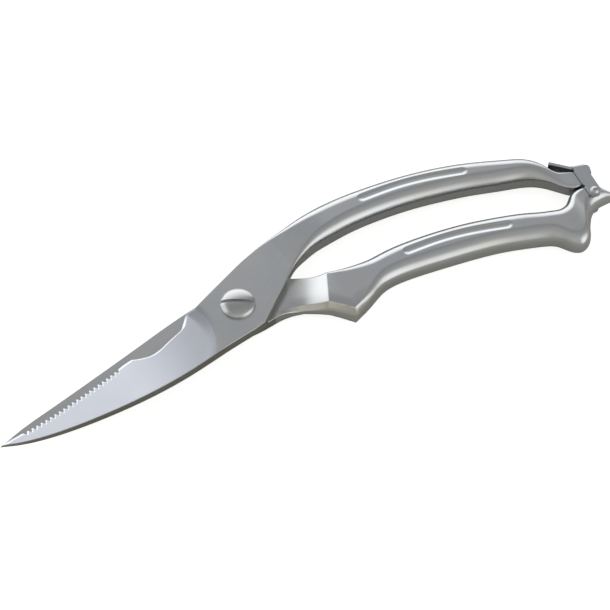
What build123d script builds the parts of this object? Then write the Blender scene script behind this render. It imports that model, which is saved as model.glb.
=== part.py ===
"""Poultry shears, closed, as separate solids. Millimetres, +Z up, rear face of the pivot nut at z = 0.

The pivot axis is the Z axis. +X runs from the pivot towards the handles, +Y towards the upper handle.
Each arm is one forging: a blade, a joint plate, a neck that thickens, and a rounded handle.
"""

import os
from math import atan2, degrees

from build123d import *

# Stack of the joint, bottom to top
NUT_FLANGE = 1.5
LOCK_WASHER = 0.6
PLATE = 4.2  # thickness of each arm at the joint
SLIP_GAP = 0.1  # play between the two joint plates
REAR_BACK = NUT_FLANGE + LOCK_WASHER
SHEAR = REAR_BACK + PLATE  # plane where the blades pass each other
REAR_FACE = SHEAR - SLIP_GAP / 2
FRONT_BACK = SHEAR + SLIP_GAP / 2
FRONT_FACE = SHEAR + PLATE

# Pivot screw, sleeve nut and lock washer
SHANK_R = 3.0
SHANK_HOLE_R = 3.05
HEAD_R = 6.5
HEAD_RIM = 0.9
HEAD_H = 2.5
SCREW_SLOT = (1.1, 1.3)  # width, depth
SCREW_SLOT_ANGLE = -27.5
SLEEVE_R = 4.0
SLEEVE_HOLE_R = 4.05
SLEEVE_TOP = REAR_BACK + 1.9
THREAD_R = 2.4
THREAD_HOLE_R = 2.45
NUT_FLOOR = 0.4
NUT_R = 6.5
NUT_CHAMFER = 0.4
SPANNER_HOLE = (0.8, 1.0)  # radius, depth
SPANNER_HOLES_AT = 4.6
LOCK_WASHER_R = (4.1, 6.2)
LOCK_WASHER_CUT = 1.0

# Opening spring and its pocket, half of it in each joint plate
WIRE_R = 0.5
COIL_R = 4.65
COIL_TURNS = 2.5
COIL_PITCH = 1.05
SPRING_LEG = 4.0
POCKET_R = 5.8
POCKET_DEPTH = 2.1
LEG_SLOT = (5.0, 1.5)  # length, width

# Handles
HANDLE = 11.4  # thickness
HANDLE_BACK = SHEAR - HANDLE / 2
HANDLE_FACE = SHEAR + HANDLE / 2
HANDLE_ROUND = 5.2
TIP = 8.4  # thickness between the legs of the latch
TIP_BACK = SHEAR - TIP / 2
TIP_FACE = SHEAR + TIP / 2
UPPER_TIP_BACK = SHEAR - 2.8  # the upper handle's end is thinner behind
GROOVE = (4.0, 0.8)  # width, depth

# Blades
SPINE_START = (-90.0, 2.2)  # x and thickness of the front blade's spine near the point
SPINE_RISE = 0.036  # growth of the spine's thickness per mm towards the joint
EDGE_FALL = 0.10  # how much the ground face falls per mm from spine to edge
GRIND_END = (-11.5, 24.0)  # x and radius of the line where the grinding runs out
REAR_BACK_RISE = 0.030  # growth of the rear blade's thickness per mm towards the joint
TOOTH_PITCH = 1.9
TOOTH_DEPTH = 1.0
TOOTH_COUNT = 22

# Latch
LATCH = (143.3, -12.3)  # where its rivet is
SHEET = 1.2
STRAP_HALF = 2.4
LATCH_PLAY = 0.3  # between a leg and the arm, each side
LEG_IN = TIP / 2 + LATCH_PLAY
LEG_OUT = LEG_IN + SHEET
TAB_HALF = 4.5
RIVET_R = 1.2
RIVET_HOLE_R = 1.25
RIVET_HEAD = (1.8, 1.1)  # radius, height
RIVET_WASHER = (2.2, 0.3)  # radius, height
BEND_R = 1.2
LIP_BEND_R = 1.3

# Plan of the front arm: blade and joint plate
POINT = (-101.5, -16.6)
FRONT_SPINE = [
    POINT, (-95, -18.8), (-88, -20.3), (-78, -21.4), (-62, -21.8), (-45, -21.0), (-28, -18.7), (-10, -14.8),
    (1.3, -12.6),
]
FRONT_CORNER = (5.9, -11.3)
FRONT_CROTCH = [FRONT_CORNER, (10.4, -7.2), (20, 1.2)]
FRONT_SHOULDER = [(18, 20.5), (10, 17.4), (0, 12.8), (-7, 9.5), (-15.4, 5.4)]
BONE_NOTCH = [
    (-15.4, 5.4), (-19.2, 4.4), (-21.2, 2.0), (-25.5, -0.4), (-31, -2.7), (-36.8, -4.7), (-40.5, -4.4),
    (-44.6, -3.1),
]
SERRATED = [(-48.5, -4.1), (-59, -7.4), (-70, -10.3), (-80, -12.8), (-90, -14.7)]
FRONT_POINT = [(-90, -14.7), (-96.5, -15.6), POINT]

# Plan of the rear arm: blade and joint plate
REAR_SPINE = [POINT, (-95, -13.9), (-80, -9.5), (-60, -4.1), (-40, 1.5), (-20, 7.0), (-14, 8.4)]
REAR_SHOULDER = [(-14, 8.4), (-5, 10.0), (6, 10.6), (15, 8.6), (26.5, 3.4)]
REAR_JOINT_LOW = [(22.5, -10.1), (16, -8.5), (11, -8.9), (6, -9.7), (-4, -10.2)]
REAR_EDGE = [(-4, -10.2), (-20, -7.2), (-37, -9.4), (-52, -10.4), (-70, -13.2), (-88, -16.0), POINT]

# Stations along the handles: upper point, lower point, back and face height, radius of back and of face edges
UPPER_HANDLE = [
    ((18, 20.5), (20, 1.2), FRONT_BACK, FRONT_FACE, 0.4, 0.4),
    ((24, 22.6), (26.5, 6.7), FRONT_BACK, FRONT_FACE + 0.1, 0.6, 0.8),
    ((30, 24.4), (33, 10.6), 3.4, FRONT_FACE + 0.5, 1.8, 2.0),
    ((36, 26.3), (39, 12.9), 1.6, HANDLE_FACE - 0.5, 3.6, 3.6),
    ((43, 27.9), (45, 14.0), HANDLE_BACK, HANDLE_FACE, HANDLE_ROUND, HANDLE_ROUND),
    ((52, 29.0), (53, 15.1), HANDLE_BACK, HANDLE_FACE, HANDLE_ROUND, HANDLE_ROUND),
    ((64, 29.2), (65, 15.6), HANDLE_BACK, HANDLE_FACE, HANDLE_ROUND, HANDLE_ROUND),
    ((80, 28.0), (79, 14.9), HANDLE_BACK, HANDLE_FACE, HANDLE_ROUND, HANDLE_ROUND),
    ((96, 25.4), (92.3, 13.0), HANDLE_BACK, HANDLE_FACE, HANDLE_ROUND, HANDLE_ROUND),
    ((110, 21.5), (104.4, 10.5), HANDLE_BACK, HANDLE_FACE, HANDLE_ROUND, HANDLE_ROUND),
    ((121.5, 17.3), (116.4, 7.3), HANDLE_BACK, HANDLE_FACE, HANDLE_ROUND, HANDLE_ROUND),
    ((127.1, 14.8), (122.4, 5.8), HANDLE_BACK, HANDLE_FACE, 4.9, 4.9),
    ((130.3, 12.2), (126.6, 3.9), HANDLE_BACK + 0.4, HANDLE_FACE - 0.3, 4.5, 4.4),
    ((133.0, 8.1), (130.6, 0.3), HANDLE_BACK + 1.4, HANDLE_FACE - 0.9, 4.0, 3.3),
    ((135.8, 2.9), (134.2, -4.2), UPPER_TIP_BACK, TIP_FACE, 3.4, 1.5),
]
UPPER_TIP = [(135.8, 2.9), (137.8, 1.4), (139.8, 1.0)]
UPPER_TIP_SEAT = [(139.8, 1.0), (140.8, 0.1), (145.0, -0.6), (145.0, -7.1), (136.0, -7.1), (134.2, -4.2)]
LOWER_HANDLE = [
    ((26.5, 3.4), (22.5, -10.1), REAR_BACK, REAR_FACE, 1.4, 0.4),
    ((36.0, -1.5), (30.2, -15.4), 1.5, HANDLE_FACE - 0.7, 4.4, 0.8),
    ((39.6, -2.1), (37.7, -22.6), HANDLE_BACK, HANDLE_FACE - 0.2, 5.2, 1.6),
    ((45, -2.2), (46.5, -18.5), HANDLE_BACK, HANDLE_FACE, HANDLE_ROUND, 3.4),
    ((52, -1.9), (53.5, -15.0), HANDLE_BACK, HANDLE_FACE, HANDLE_ROUND, 4.6),
    ((59, -0.9), (60, -14.0), HANDLE_BACK, HANDLE_FACE, HANDLE_ROUND, HANDLE_ROUND),
    ((68, -0.5), (68, -14.2), HANDLE_BACK, HANDLE_FACE, HANDLE_ROUND, HANDLE_ROUND),
    ((80, -1.1), (79, -15.2), HANDLE_BACK, HANDLE_FACE, HANDLE_ROUND, HANDLE_ROUND),
    ((94.7, -3.0), (92.2, -16.7), HANDLE_BACK, HANDLE_FACE, HANDLE_ROUND, HANDLE_ROUND),
    ((106.6, -5.7), (102.5, -18.5), HANDLE_BACK, HANDLE_FACE, HANDLE_ROUND, HANDLE_ROUND),
    ((115, -8.1), (111, -20.8), HANDLE_BACK, HANDLE_FACE, HANDLE_ROUND, HANDLE_ROUND),
    ((121.5, -10.5), (116.5, -22.5), HANDLE_BACK, HANDLE_FACE, HANDLE_ROUND, HANDLE_ROUND),
    ((125.5, -11.7), (121, -24.7), HANDLE_BACK, HANDLE_FACE, HANDLE_ROUND, HANDLE_ROUND),
    ((128.2, -12.3), (124.6, -28.9), HANDLE_BACK, HANDLE_FACE, HANDLE_ROUND, HANDLE_ROUND),
    ((130.2, -12.0), (128.2, -31.2), HANDLE_BACK, HANDLE_FACE, HANDLE_ROUND, HANDLE_ROUND),
    ((132.0, -11.0), (132.2, -29.4), HANDLE_BACK + 0.2, HANDLE_FACE - 0.2, HANDLE_ROUND, 5.0),
    ((133.8, -9.3), (134.6, -25.4), HANDLE_BACK + 0.6, HANDLE_FACE - 0.6, 4.6, 4.6),
    ((135.9, -7.8), (137.3, -21.0), TIP_BACK + 0.2, TIP_FACE, 3.6, 3.6),
    ((138.4, -7.5), (140.0, -17.7), TIP_BACK, TIP_FACE, 3.4, 3.4),
    ((142.2, -7.6), (143.0, -15.9), TIP_BACK, TIP_FACE, 3.2, 3.2),
    ((146.2, -9.8), (147.2, -15.4), TIP_BACK + 0.4, TIP_FACE - 0.4, 2.4, 2.4),
    ((149.1, -13.2), (149.3, -15.5), TIP_BACK + 2.4, TIP_FACE - 2.4, 0.9, 0.9),
]

# Centre lines of the finger grooves
UPPER_GROOVE = [(63, 23.2), (76, 22.9), (90, 20.9), (102.5, 17.8)]
LOWER_GROOVE = [(67, -6.4), (80, -6.8), (94, -9.0), (106, -12.1)]

# The latch in plan: the middle of its folded sheet, from the thumb tab over the roof to the lip
LATCH_FOLD = [(134.3, 7.4), (141.0, 1.4), (147.2, 0.0), (146.3, -3.5)]

CUT_REACH = 400.0  # size of the blocks that trim by a plane
UPRIGHT = (Align.CENTER, Align.CENTER, Align.MIN)


def outline(*pieces):
    """A closed face from point lists: two points make a line, more make a smooth curve."""
    edges = [Line(*points) if len(points) == 2 else Spline(*points) for points in pieces]
    return make_face(Wire(edges))


def slab(face, low, high):
    """A face drawn at z = 0 as a prism between two heights."""
    return extrude(Pos(0, 0, low) * face, high - low)


def disc(radius, low, high, at=(0, 0)):
    """An upright cylinder between two heights."""
    return Pos(at[0], at[1], low) * Cylinder(radius, high - low, align=UPRIGHT)


def block_above(origin, normal):
    """A big block on the side of a plane that the normal points to."""
    return Plane(origin=origin, z_dir=normal).location * Box(CUT_REACH, CUT_REACH, CUT_REACH / 2, align=UPRIGHT)


def section(station):
    """The rounded cross-section of a handle at one station."""
    upper, lower, back, face, back_radius, face_radius = station
    across = Vector(upper[0] - lower[0], upper[1] - lower[1], 0)
    middle = Vector((upper[0] + lower[0]) / 2, (upper[1] + lower[1]) / 2, (back + face) / 2)
    plane = Plane(origin=middle, x_dir=across, z_dir=across.cross(Vector(0, 0, 1)))
    shape = Rectangle(across.length, face - back)
    shape = fillet(shape.vertices().group_by(Axis.Y)[0], back_radius)
    shape = fillet(shape.vertices().group_by(Axis.Y)[-1], face_radius)
    return plane * shape


def spar(stations):
    """A bar that runs straight from each station to the next."""
    return loft([section(station) for station in stations], ruled=True)


def channel(points, face):
    """A round-ended groove that follows a curve on a handle's face."""
    width, depth = GROOVE
    path = Spline(*points)
    cutter = sweep(Plane(origin=path @ 0, z_dir=path % 0) * Circle(width / 2), path)
    cutter += Pos(path @ 0) * Sphere(width / 2)
    cutter += Pos(path @ 1) * Sphere(width / 2)
    return Pos(0, 0, face - depth + width / 2) * cutter


def serration():
    """The gaps between the teeth of the front blade, as one comb of small wedges."""
    edge = Spline(*SERRATED)
    comb = Part()
    for i in range(TOOTH_COUNT):
        place = edge @ ((i + 0.5) / TOOTH_COUNT)
        along = edge % ((i + 0.5) / TOOTH_COUNT)
        turn = degrees(atan2(along.Y, along.X)) + 180
        half = TOOTH_PITCH * 0.42
        wedge = make_face(Polyline((-half, 0.3), (0, -TOOTH_DEPTH), (half, 0.3), close=True))
        comb += slab(Pos(place.X, place.Y) * Rot(0, 0, turn) * wedge, SHEAR - 1, FRONT_FACE + 1)
    return comb


def ground_face():
    """What grinding takes off the front blade: all above a sloping plane, up to a rounded run-out."""
    x, thickness = SPINE_START
    spine_y = FRONT_SPINE[2][1]
    above = block_above((x, spine_y, SHEAR + thickness), (-SPINE_RISE, EDGE_FALL, 1))
    end_x, end_r = GRIND_END
    reach = disc(end_r, SHEAR, FRONT_FACE + 5, at=(end_x - end_r, -4))
    beyond = Pos(end_x - end_r - CUT_REACH / 2, 0, SHEAR) * Box(CUT_REACH, CUT_REACH, HANDLE, align=UPRIGHT)
    return above & (reach + beyond)


def pocket(low, high, side):
    """The round pocket for the spring, with a slot for the leg on one side of it."""
    length, width = LEG_SLOT
    slot = Box(width, length, high - low, align=(Align.CENTER, Align.MAX, Align.MIN))
    return disc(POCKET_R, low, high) + Pos(side * COIL_R, 0, low) * slot


def front_arm():
    plate_end = [FRONT_CROTCH[-1], FRONT_SHOULDER[0]]
    face = outline(
        FRONT_SPINE, [FRONT_SPINE[-1], FRONT_CORNER], FRONT_CROTCH, plate_end, FRONT_SHOULDER, BONE_NOTCH,
        [BONE_NOTCH[-1], SERRATED[0]], SERRATED, FRONT_POINT,
    )
    blade = slab(face, FRONT_BACK, FRONT_FACE) - ground_face() - serration()
    tip_face = outline(UPPER_TIP, *zip(UPPER_TIP_SEAT, UPPER_TIP_SEAT[1:]), [UPPER_TIP_SEAT[-1], UPPER_TIP[0]])
    arm = blade + spar(UPPER_HANDLE) + slab(tip_face, UPPER_TIP_BACK, TIP_FACE)
    arm -= channel(UPPER_GROOVE, HANDLE_FACE)
    arm -= disc(SHANK_HOLE_R, SHEAR, FRONT_FACE + 1)
    arm -= pocket(FRONT_BACK - 1, SHEAR + POCKET_DEPTH, side=-1)
    return arm


def rear_arm():
    face = outline(REAR_SPINE, REAR_SHOULDER, [REAR_SHOULDER[-1], REAR_JOINT_LOW[0]], REAR_JOINT_LOW, REAR_EDGE)
    x, thickness = SPINE_START
    plate = slab(face, REAR_BACK, REAR_FACE) - block_above((x, 0, SHEAR - thickness), (-REAR_BACK_RISE, 0, -1))
    arm = plate + spar(LOWER_HANDLE)
    arm -= channel(LOWER_GROOVE, HANDLE_FACE)
    arm -= disc(SLEEVE_HOLE_R, REAR_BACK - 1, SHEAR)
    arm -= pocket(SHEAR - POCKET_DEPTH, REAR_FACE + 1, side=1)
    arm -= disc(RIVET_HOLE_R, 0, 2 * SHEAR, at=LATCH)
    return arm


def pivot_screw():
    top = FRONT_FACE + HEAD_H
    profile = Polyline(
        (0, NUT_FLOOR + 0.2), (THREAD_R, NUT_FLOOR + 0.2), (THREAD_R, SLEEVE_TOP + 0.1), (SHANK_R, SLEEVE_TOP + 0.1),
        (SHANK_R, FRONT_FACE), (HEAD_R, FRONT_FACE), (HEAD_R, FRONT_FACE + HEAD_RIM),
    )
    dome = ThreePointArc((HEAD_R, FRONT_FACE + HEAD_RIM), (HEAD_R * 0.55, top - 0.5), (0, top))
    half = make_face(Wire([*profile.edges(), dome, Line((0, top), (0, NUT_FLOOR + 0.2))]))
    screw = revolve(Plane.XZ * half, Axis.Z)
    width, depth = SCREW_SLOT
    slot = Pos(0, 0, top - depth) * Box(3 * HEAD_R, width, 2 * depth, align=UPRIGHT)
    return screw - Rot(0, 0, SCREW_SLOT_ANGLE) * slot


def pivot_nut():
    flange = chamfer(disc(NUT_R, 0, NUT_FLANGE).edges(), NUT_CHAMFER)
    nut = flange + disc(SLEEVE_R, NUT_FLANGE, SLEEVE_TOP)
    nut -= disc(THREAD_HOLE_R, NUT_FLOOR, SHEAR)
    radius, depth = SPANNER_HOLE
    for side in (-1, 1):
        nut -= disc(radius, -1, depth, at=(side * SPANNER_HOLES_AT, 0))
    return nut


def lock_washer():
    inner, outer = LOCK_WASHER_R
    ring = disc(outer, NUT_FLANGE, REAR_BACK) - disc(inner, 0, SHEAR)
    return ring - Pos(outer / 2 + 1, 0, 0) * Rot(0, 0, 25) * Box(outer, LOCK_WASHER_CUT, 4 * SHEAR)


def torsion_spring():
    height = COIL_TURNS * COIL_PITCH
    coil = Pos(0, 0, SHEAR - height / 2) * Helix(COIL_PITCH, height, COIL_R)
    first, last = coil @ 0, coil @ 1
    legs = [Line(first - (coil % 0) * SPRING_LEG, first), Line(last, last + (coil % 1) * SPRING_LEG)]
    path = Wire([legs[0], coil, legs[1]])
    return sweep(Plane(origin=path @ 0, z_dir=path % 0) * Circle(WIRE_R), path)


def latch_bail():
    """A folded strap: a roof with a thumb tab and a lip, and a leg down each side."""
    strip = FilletPolyline(*LATCH_FOLD, radius=[BEND_R, LIP_BEND_R])
    start = Plane(origin=strip @ 0, x_dir=(0, 0, 1), z_dir=strip % 0)
    sheet = Pos(0, 0, SHEAR) * sweep(start * Rectangle(2 * TAB_HALF, SHEET), strip)
    left, right = LATCH[0] - STRAP_HALF, LATCH[0] + STRAP_HALF
    roof_left, roof_right = roof_top(left), roof_top(right)
    top = [(left, roof_left), (right, roof_right)]
    roof = make_face(Polyline(*top, (right, roof_right - SHEET), (left, roof_left - SHEET), close=True))
    leg = make_face(Polyline(*top, (right, LATCH[1]), (left, LATCH[1]), close=True))
    leg += Pos(LATCH[0], LATCH[1]) * Circle(STRAP_HALF)
    strap = slab(roof, SHEAR - LEG_OUT, SHEAR + LEG_OUT)
    strap += slab(leg, SHEAR + LEG_IN, SHEAR + LEG_OUT)
    strap += slab(leg, SHEAR - LEG_OUT, SHEAR - LEG_IN)
    outer = [e for e in strap.edges() if abs(abs(e.center().Z - SHEAR) - LEG_OUT) < 0.01]
    strap = fillet([e for e in outer if e.length > 2 * STRAP_HALF and e.center().Y > LATCH_FOLD[2][1]], BEND_R)
    return sheet + strap - disc(RIVET_HOLE_R, 0, 2 * SHEAR, at=LATCH)


def roof_top(x):
    """Height in plan of the outside of the latch's roof at x."""
    (x0, y0), (x1, y1) = LATCH_FOLD[1:3]
    return y0 + (x - x0) * (y1 - y0) / (x1 - x0) + SHEET / 2


def latch_rivet():
    radius, height = RIVET_HEAD
    top = SHEAR + LEG_OUT
    low = SHEAR - LEG_OUT - RIVET_WASHER[1]
    shank = disc(RIVET_R, low, top, at=LATCH)
    ball_r = (radius**2 + height**2) / (2 * height)
    dome = Pos(*LATCH, top + height - ball_r) * Sphere(ball_r) & disc(radius, top, top + 2 * height, at=LATCH)
    return shank + dome + disc(radius, 0, low, at=LATCH)


def rivet_washer():
    radius, height = RIVET_WASHER
    low = SHEAR - LEG_OUT - height
    return disc(radius, low, low + height, at=LATCH) - disc(RIVET_HOLE_R, 0, SHEAR, at=LATCH)


def write(name, shape):
    """One STEP file for one node."""
    shape.label = name
    export_step(shape, os.path.join("parts", name + ".step"))


os.makedirs("parts", exist_ok=True)
write("front_arm", front_arm())
write("rear_arm", rear_arm())
write("pivot_screw", pivot_screw())
write("pivot_nut", pivot_nut())
write("lock_washer", lock_washer())
write("torsion_spring", torsion_spring())
write("latch_bail", latch_bail())
write("latch_rivet", latch_rivet())
write("rivet_washer", rivet_washer())
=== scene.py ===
import math

import bmesh
import bpy
import numpy as np
from mathutils import Matrix, Vector


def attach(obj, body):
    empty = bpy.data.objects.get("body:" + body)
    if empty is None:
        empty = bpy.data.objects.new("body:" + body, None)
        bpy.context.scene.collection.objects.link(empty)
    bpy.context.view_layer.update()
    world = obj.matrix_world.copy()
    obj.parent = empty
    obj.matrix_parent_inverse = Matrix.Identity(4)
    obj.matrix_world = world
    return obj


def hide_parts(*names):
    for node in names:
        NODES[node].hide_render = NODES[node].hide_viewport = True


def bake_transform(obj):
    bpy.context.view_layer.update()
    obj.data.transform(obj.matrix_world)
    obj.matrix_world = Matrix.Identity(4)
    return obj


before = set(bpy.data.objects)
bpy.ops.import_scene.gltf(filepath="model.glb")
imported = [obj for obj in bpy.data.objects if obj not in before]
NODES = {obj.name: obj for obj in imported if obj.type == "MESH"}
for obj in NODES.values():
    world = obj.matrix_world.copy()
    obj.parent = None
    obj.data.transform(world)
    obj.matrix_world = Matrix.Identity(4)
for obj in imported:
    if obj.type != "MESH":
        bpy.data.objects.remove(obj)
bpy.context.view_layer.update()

MM = 0.001

# ------------------------------------------------------------------ heights and sizes, mm
SHEAR = 6.3  # plane where the blades pass each other
REAR_BACK, REAR_FACE = 2.1, 6.25
FRONT_BACK, FRONT_FACE = 6.35, 10.5
HANDLE_BACK, HANDLE_FACE = 0.6, 12.0
TIP_BACK, TIP_FACE = 2.1, 10.5
UPPER_TIP_BACK = 3.5
POCKET_R, POCKET_DEPTH = 5.8, 2.1
COIL_R, WIRE_R = 4.65, 0.5
COIL_TURNS, COIL_PITCH, SPRING_LEG = 2.5, 1.05, 4.0
SHANK_HOLE_R, SLEEVE_HOLE_R = 3.05, 4.05
SCREW_R, SCREW_TOP = 6.5, FRONT_FACE + 2.5
SLOT_WIDTH, SLOT_DEPTH, SLOT_ANGLE = 1.3, 1.6, -27.5
LATCH = (143.3, -12.3)  # plan of the latch's rivet
RIVET_HEAD_R, RIVET_HOLE_R = 1.8, 1.25
RIVET_LOW, RIVET_HIGH = SHEAR - 6.0, SHEAR + 5.7
CREST = HANDLE_FACE - 0.75  # height of the face where the neck's slope ends
CREASE = ((35.6, -1.3), (29.9, -15.2))  # plan of that crease
NECK_LENGTH = 13.5  # plan length of the slope, up to the crease

# ------------------------------------------------------------------ plan outlines, mm
POINT = (-101.5, -16.6)
EDGE_POINT = [POINT, (-96.5, -15.6), (-90, -14.7)]
SERRATED = [(-90, -14.7), (-80, -12.8), (-70, -10.3), (-59, -7.4), (-48.5, -4.1)]
BONE_NOTCH = [(-44.6, -3.1), (-40.5, -4.4), (-36.8, -4.7), (-31, -2.7), (-25.5, -0.4), (-21.2, 2.0),
              (-19.2, 4.4), (-15.4, 5.4)]
FRONT_SHOULDER = [(-15.4, 5.4), (-7, 9.5), (0, 12.8), (10, 17.4), (18, 20.5)]
FRONT_SPINE = [POINT, (-95, -18.8), (-88, -20.3), (-78, -21.4), (-62, -21.8), (-45, -21.0), (-28, -18.7),
               (-10, -14.8), (1.3, -12.6)]
FRONT_CROTCH = [(5.9, -11.3), (10.4, -7.2), (20, 1.2)]
REAR_SPINE = [POINT, (-95, -13.9), (-80, -9.5), (-60, -4.1), (-40, 1.5), (-20, 7.0), (-14, 8.4)]
REAR_SHOULDER = [(-14, 8.4), (-5, 10.0), (6, 10.6), (15, 8.6), (26.5, 3.4)]
REAR_EDGE = [POINT, (-88, -16.0), (-70, -13.2), (-52, -10.4), (-37, -9.4), (-20, -7.2), (-4, -10.2)]
REAR_JOINT_LOW = [(-4, -10.2), (6, -9.7), (11, -8.9), (16, -8.5), (22.5, -10.1)]

# Stations of the handles: upper point, lower point, back, face, radius of the back's edges, radius of the
# face's edges (one for both, or the lower and the upper one)
UPPER_HANDLE = [
    ((18, 20.5), (20, 1.2), FRONT_BACK, FRONT_FACE, 0.4, 0.5),
    ((24, 22.6), (26.5, 6.7), FRONT_BACK, FRONT_FACE + 0.1, 0.8, 1.2),
    ((30, 24.4), (33, 10.6), 3.4, FRONT_FACE + 0.5, 1.8, 2.2),
    ((36, 26.3), (39, 12.9), 1.6, HANDLE_FACE - 0.5, 3.6, 3.4),
    ((43, 27.9), (45, 14.0), HANDLE_BACK, HANDLE_FACE, 5.0, 4.6),
    ((52, 29.0), (53, 15.1), HANDLE_BACK, HANDLE_FACE, 5.2, 5.0),
    ((64, 29.08), (65, 15.6), HANDLE_BACK, HANDLE_FACE, 5.2, 5.0),
    ((80, 28.0), (79, 14.9), HANDLE_BACK, HANDLE_FACE, 5.2, 5.0),
    ((96, 25.4), (92.3, 13.0), HANDLE_BACK, HANDLE_FACE, 5.2, 5.0),
    ((110, 21.5), (104.4, 10.5), HANDLE_BACK, HANDLE_FACE, 5.2, 5.0),
    ((121.5, 17.3), (116.4, 7.3), HANDLE_BACK, HANDLE_FACE, 5.2, 5.0),
    ((127.1, 14.8), (122.4, 5.8), HANDLE_BACK, HANDLE_FACE, 4.9, 4.8),
    ((130.3, 12.2), (126.6, 3.9), HANDLE_BACK + 0.4, HANDLE_FACE - 0.3, 4.5, 4.4),
    ((133.0, 8.1), (130.6, 0.3), HANDLE_BACK + 1.4, HANDLE_FACE - 0.9, 4.0, 3.3),
    ((135.8, 2.9), (134.2, -4.2), UPPER_TIP_BACK, TIP_FACE, 3.2, 1.5),
    ((138.4, 1.2), (138.0, -6.8), UPPER_TIP_BACK, TIP_FACE, 2.0, 0.8),
    ((141.0, 0.0), (141.0, -7.0), UPPER_TIP_BACK, TIP_FACE, 0.8, 0.5),
    ((144.8, -0.7), (144.8, -7.0), UPPER_TIP_BACK, TIP_FACE, 0.5, 0.5),
]
LOWER_HANDLE = [
    ((26.5, 3.4), (22.5, -10.1), REAR_BACK, CREST, 1.4, 0.4, 0.4),
    ((35.6, -1.3), (29.9, -15.2), 1.5, CREST, 4.2, 0.5, 1.0),
    ((39.6, -2.1), (37.7, -22.6), HANDLE_BACK, HANDLE_FACE - 0.2, 5.2, 0.8, 1.8),
    ((45, -2.2), (46.5, -18.5), HANDLE_BACK, HANDLE_FACE, 5.2, 3.4),
    ((52, -1.9), (53.5, -15.0), HANDLE_BACK, HANDLE_FACE, 5.2, 4.6),
    ((59, -0.9), (60, -14.0), HANDLE_BACK, HANDLE_FACE, 5.2, 5.0),
    ((68, -0.5), (68, -14.2), HANDLE_BACK, HANDLE_FACE, 5.2, 5.0),
    ((80, -1.1), (79, -15.2), HANDLE_BACK, HANDLE_FACE, 5.2, 5.0),
    ((94.7, -3.0), (92.2, -16.7), HANDLE_BACK, HANDLE_FACE, 5.2, 5.0),
    ((106.6, -5.7), (102.5, -18.5), HANDLE_BACK, HANDLE_FACE, 5.2, 5.0),
    ((115, -8.1), (111, -20.8), HANDLE_BACK, HANDLE_FACE, 5.2, 5.0),
    ((121.5, -10.5), (116.5, -22.5), HANDLE_BACK, HANDLE_FACE, 5.2, 5.0),
    ((125.5, -11.7), (121, -24.7), HANDLE_BACK, HANDLE_FACE, 5.2, 5.0),
    ((128.2, -12.3), (124.6, -28.9), HANDLE_BACK, HANDLE_FACE, 5.2, 5.0),
    ((130.2, -12.0), (128.2, -31.12), HANDLE_BACK, HANDLE_FACE, 5.2, 5.0),
    ((132.0, -11.0), (132.2, -29.4), HANDLE_BACK + 0.2, HANDLE_FACE - 0.2, 5.2, 5.0),
    ((133.8, -9.3), (134.6, -25.4), HANDLE_BACK + 0.6, HANDLE_FACE - 0.6, 4.6, 4.6),
    ((135.9, -7.8), (137.3, -21.0), TIP_BACK + 0.2, TIP_FACE, 3.0, 5.0, 3.0),
    ((138.4, -7.5), (140.0, -17.7), TIP_BACK, TIP_FACE, 2.6, 5.4, 2.0),
    ((142.2, -7.6), (143.0, -15.9), TIP_BACK, TIP_FACE, 2.4, 5.4, 1.6),
    ((146.2, -9.8), (147.2, -15.4), TIP_BACK + 0.4, TIP_FACE - 0.2, 2.2, 4.8, 1.2),
    ((149.1, -13.2), (149.3, -15.5), TIP_BACK + 1.8, TIP_FACE - 1.4, 0.9, 1.6, 0.7),
]
UPPER_GROOVE = [(63, 23.2), (76, 22.9), (90, 20.9), (102.5, 17.8)]
LOWER_GROOVE = [(67, -6.4), (80, -6.8), (94, -9.0), (106, -12.1)]
GROOVE_HALF, GROOVE_DEPTH, GROOVE_FLAT = 2.0, 0.42, 0.3  # half width, depth, share of it that is flat
GUARD = 2  # the station whose lower point is the guard's corner
TOOTH_COUNT, TOOTH_DEPTH = 22, 1.2
TOOTH_SHIFT = (-2.4, -2.2)  # where the row of teeth starts and ends, from the ends of SERRATED
FLANK, GAP_PEAK = 0.36, 1.15  # a flank's share of the pitch; over 1, so that the bottom of each gap is flat
GROUND_X, GROUND_Y = -90, -20.3  # a point on the spine near the tip
GROUND_THICK, GROUND_SLOPE = 2.2, 0.029  # thickness of the front blade there, and its growth along x
GROUND_FALL, FALL_CHANGE = 0.10, 0.06  # slope towards the edge near the tip, and how much less it is later
FALL_FROM, FALL_FADE = -50, 38  # x from which it lessens, and over what length
RUN_OUT = 6.5  # width of the soft end of the grinding
RUN_OUT_CENTRE, RUN_OUT_R = (-35.5, -4), 25.0  # the circle it ends on
PAINT_R = 22.6  # radius to which the ground steel reaches about the same centre
BEVEL_WIDTH, BEVEL_SLOPE = 1.3, 0.42  # of the front blade's edge
EDGE_LAND, EDGE_SLOPE = 0.14, 2.8  # thickness left at a blade's edge, and the front blade's steep side there
NOTCH_END, NOTCH_FADE = -23.5, 6  # where the front blade's edge turns into the shoulder
SHOULDER_CLEAR = 12  # lifts the limit of the steep side clear of the shoulder
REAR_THICK, REAR_SLOPE = 2.2, 0.03  # thickness of the rear blade at GROUND_X, and its growth along x
REAR_EDGE_SLOPE, REAR_BLADE_END = 0.9, -6
ROLL_WIDTH, ROLL_DROP = 6.5, 0.6  # soft fall of the neck's face towards its lower edge
NECK_BEVEL_WIDTH, NECK_BEVEL_SLOPE = 1.8, 1.5
NECK_FROM, NECK_RISE = 12, 10  # x where both come in, and over what length
NECK_TO, NECK_FADE = 36, 12  # x where both go, and over what length
NECK_THICK = 9.0  # thickness at which they are full; half of that or less has them at half
TOOTH_STEP, BLADE_STEP, HANDLE_STEP, REAR_STEP = 0.13, 0.3, 0.6, 0.5  # spacing of sections
TEETH_X, HANDLE_X = (-95, -47), 20  # where the front arm's spacing changes
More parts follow.
